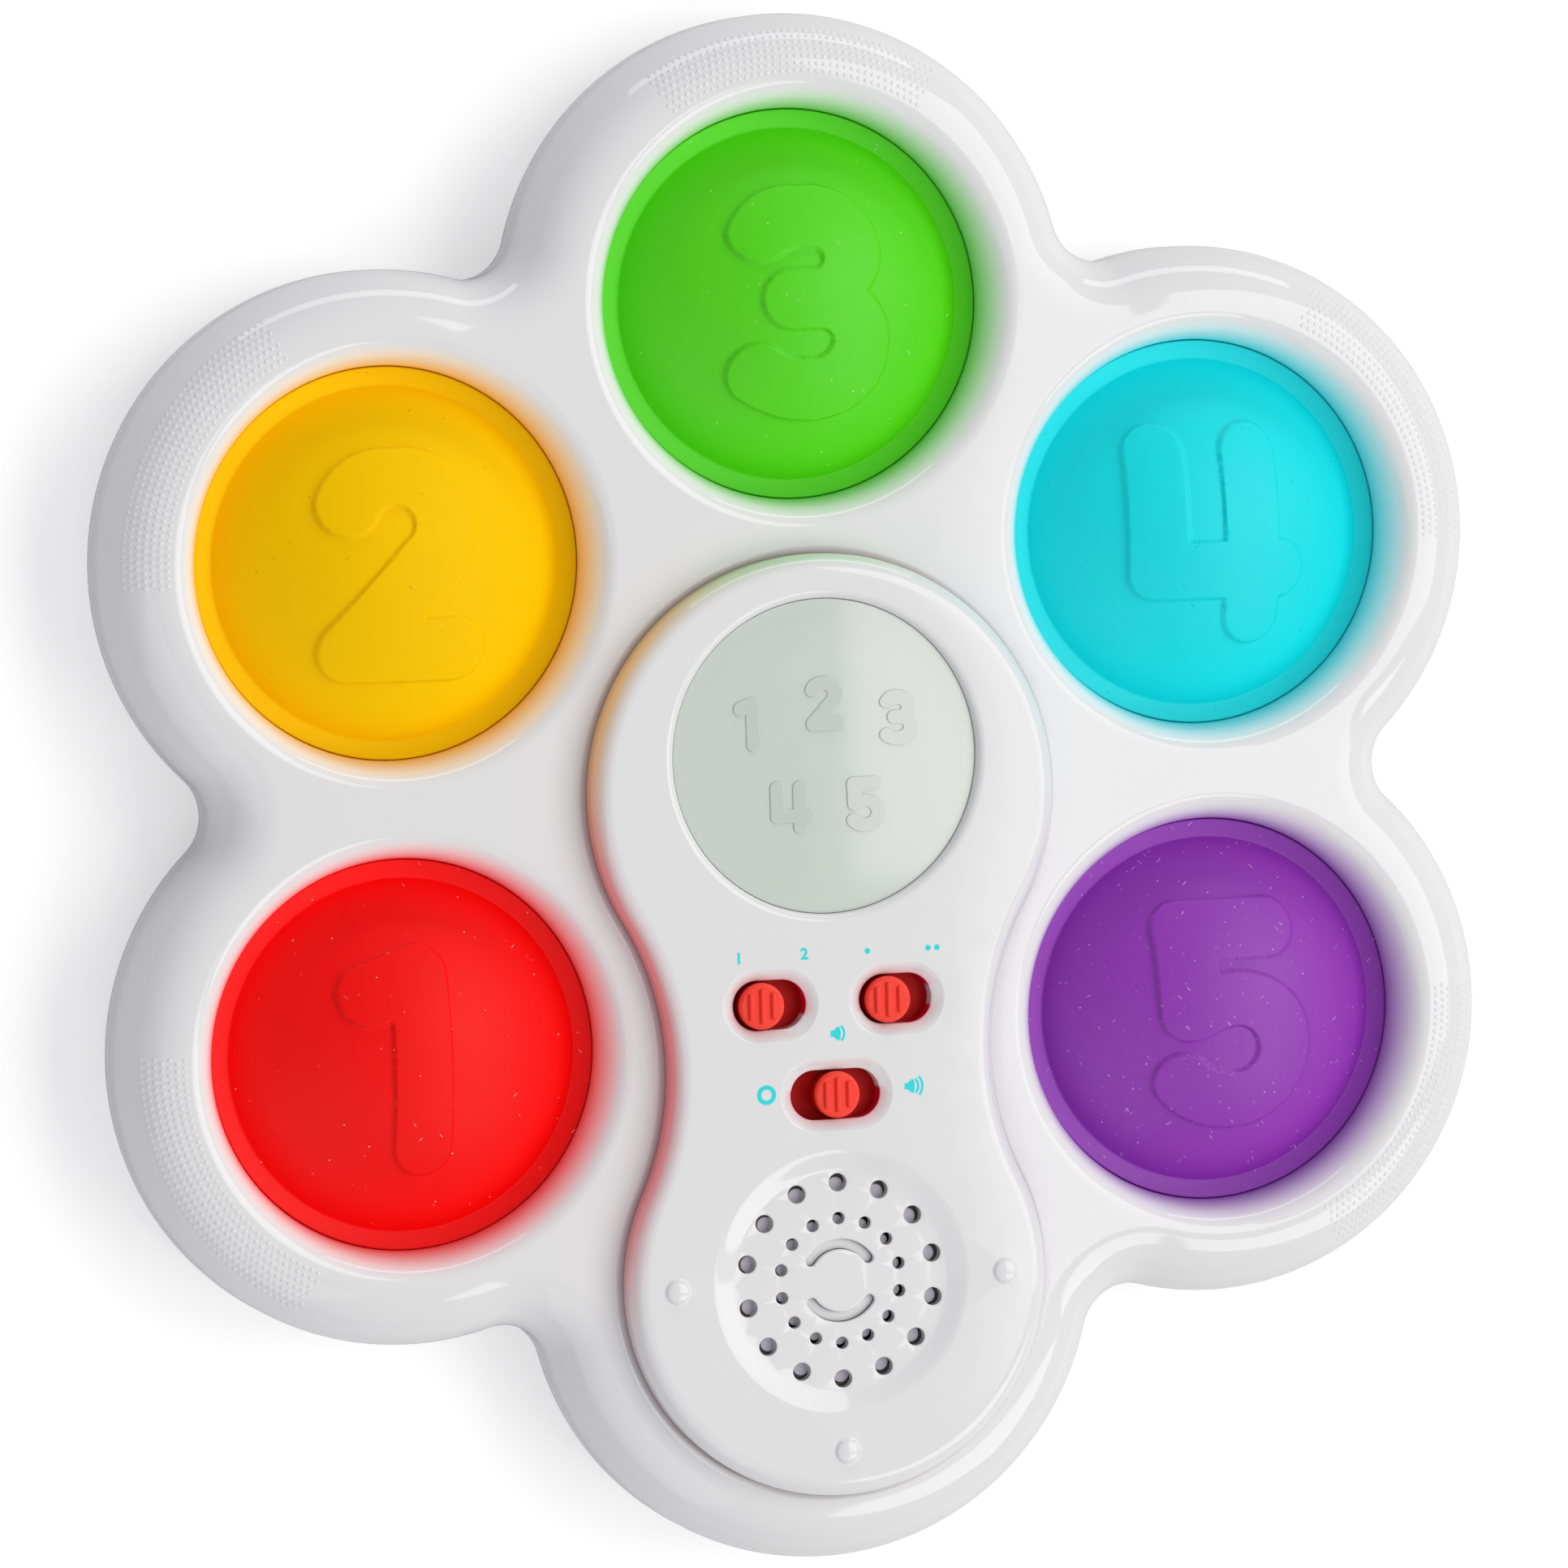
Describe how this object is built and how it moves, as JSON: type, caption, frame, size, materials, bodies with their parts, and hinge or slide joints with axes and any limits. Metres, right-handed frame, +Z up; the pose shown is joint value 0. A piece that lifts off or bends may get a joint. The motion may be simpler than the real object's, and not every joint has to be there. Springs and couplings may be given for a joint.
{
  "type": "bubble pop fidget toy",
  "caption": "Flower-shaped baby toy with numbered silicone bubbles to press, a console with a round lens, slide knobs and a speaker grille.",
  "frame": {"origin": "under the middle of the flower, on the surface the feet stand on", "axes": "+Z up out of the face, +Y towards the lobe of bubble 3 and away from the speaker, +X to the right as the face is read"},
  "size_m": [0.2454, 0.268, 0.0353],
  "materials": {
    "white_plastic": "glossy",
    "green_silicone": "smooth matte",
    "yellow_silicone": "smooth matte",
    "red_silicone": "smooth matte",
    "cyan_silicone": "smooth matte",
    "purple_silicone": "smooth matte",
    "clear_grey_plastic": "as moulded",
    "grey_plastic": "as moulded",
    "circuit_board": "lacquered",
    "black_plastic": "as moulded",
    "lens_plastic": "glossy",
    "led_plastic": "glossy",
    "capacitor_can": "satin",
    "steel": "plated",
    "red_plastic": "satin",
    "speaker_paper": "paper",
    "foam": "foam",
    "cell_jacket": "printed sleeve",
    "foot_rubber": "matte"
  },
  "bodies": {
    "casing": {"batteries": "cell_jacket", "battery_contacts": "steel", "board_screws": "steel", "bottom_shell": "white_plastic", "bubble_1_clamp_ring": "grey_plastic", "bubble_1_flange": "red_silicone", "bubble_1_switch_board": "circuit_board", "bubble_2_clamp_ring": "grey_plastic", "bubble_2_flange": "yellow_silicone", "bubble_2_switch_board": "circuit_board", "bubble_3_clamp_ring": "grey_plastic", "bubble_3_flange": "green_silicone", "bubble_3_switch_board": "circuit_board", "bubble_4_clamp_ring": "grey_plastic", "bubble_4_flange": "cyan_silicone", "bubble_4_switch_board": "circuit_board", "bubble_5_clamp_ring": "grey_plastic", "bubble_5_flange": "purple_silicone", "bubble_5_switch_board": "circuit_board", "capacitors": "capacitor_can", "clamp_ring_screws": "steel", "console_cover": "white_plastic", "console_screws": "steel", "cup_and_speaker_screws": "steel", "display_lens": "lens_plastic", "language_switch_case": "steel", "led_board": "circuit_board", "leds": "led_plastic", "light_cup": "grey_plastic", "main_circuit_board": "circuit_board", "mode_switch_case": "steel", "push_switches": "black_plastic", "rubber_feet": "foot_rubber", "shell_screws": "steel", "sound_chip": "black_plastic", "speaker_clamp": "grey_plastic", "speaker_cone": "speaker_paper", "speaker_frame": "steel", "speaker_gasket": "foam", "speaker_magnet": "steel", "top_shell": "white_plastic", "volume_switch_case": "steel"},
    "bubble_1": {"bubble_1_dome": "red_silicone", "bubble_1_plunger": "clear_grey_plastic"},
    "bubble_2": {"bubble_2_dome": "yellow_silicone", "bubble_2_plunger": "clear_grey_plastic"},
    "bubble_3": {"bubble_3_dome": "green_silicone", "bubble_3_plunger": "clear_grey_plastic"},
    "bubble_4": {"bubble_4_dome": "cyan_silicone", "bubble_4_plunger": "clear_grey_plastic"},
    "bubble_5": {"bubble_5_dome": "purple_silicone", "bubble_5_plunger": "clear_grey_plastic"},
    "mode_slider": {"mode_knob": "red_plastic", "mode_switch_lever": "black_plastic"},
    "language_slider": {"language_knob": "red_plastic", "language_switch_lever": "black_plastic"},
    "volume_slider": {"volume_knob": "red_plastic", "volume_switch_lever": "black_plastic"},
    "battery_cover": {"battery_door": "white_plastic", "battery_door_screws": "steel"}
  },
  "joints": [
    {"name": "press_bubble_1", "type": "slide", "parent": "casing", "child": "bubble_1", "axis": [0, 0, -1], "range_m": [0, 0.008], "stiffness_N_per_m": 450},
    {"name": "press_bubble_2", "type": "slide", "parent": "casing", "child": "bubble_2", "axis": [0, 0, -1], "range_m": [0, 0.008], "stiffness_N_per_m": 450},
    {"name": "press_bubble_3", "type": "slide", "parent": "casing", "child": "bubble_3", "axis": [0, 0, -1], "range_m": [0, 0.008], "stiffness_N_per_m": 450},
    {"name": "press_bubble_4", "type": "slide", "parent": "casing", "child": "bubble_4", "axis": [0, 0, -1], "range_m": [0, 0.008], "stiffness_N_per_m": 450},
    {"name": "press_bubble_5", "type": "slide", "parent": "casing", "child": "bubble_5", "axis": [0, 0, -1], "range_m": [0, 0.008], "stiffness_N_per_m": 450},
    {"name": "slide_mode_knob", "type": "slide", "parent": "casing", "child": "mode_slider", "axis": [1, 0, 0], "range_m": [0, 0.0034]},
    {"name": "slide_language_knob", "type": "slide", "parent": "casing", "child": "language_slider", "axis": [1, 0, 0], "range_m": [0, 0.0034]},
    {"name": "slide_volume_knob", "type": "slide", "parent": "casing", "child": "volume_slider", "axis": [1, 0, 0], "range_m": [-0.0032, 0.0032]},
    {"name": "lift_off_battery_door", "type": "slide", "parent": "casing", "child": "battery_cover", "axis": [0, 0, -1], "range_m": [0, 0.012]}
  ]
}
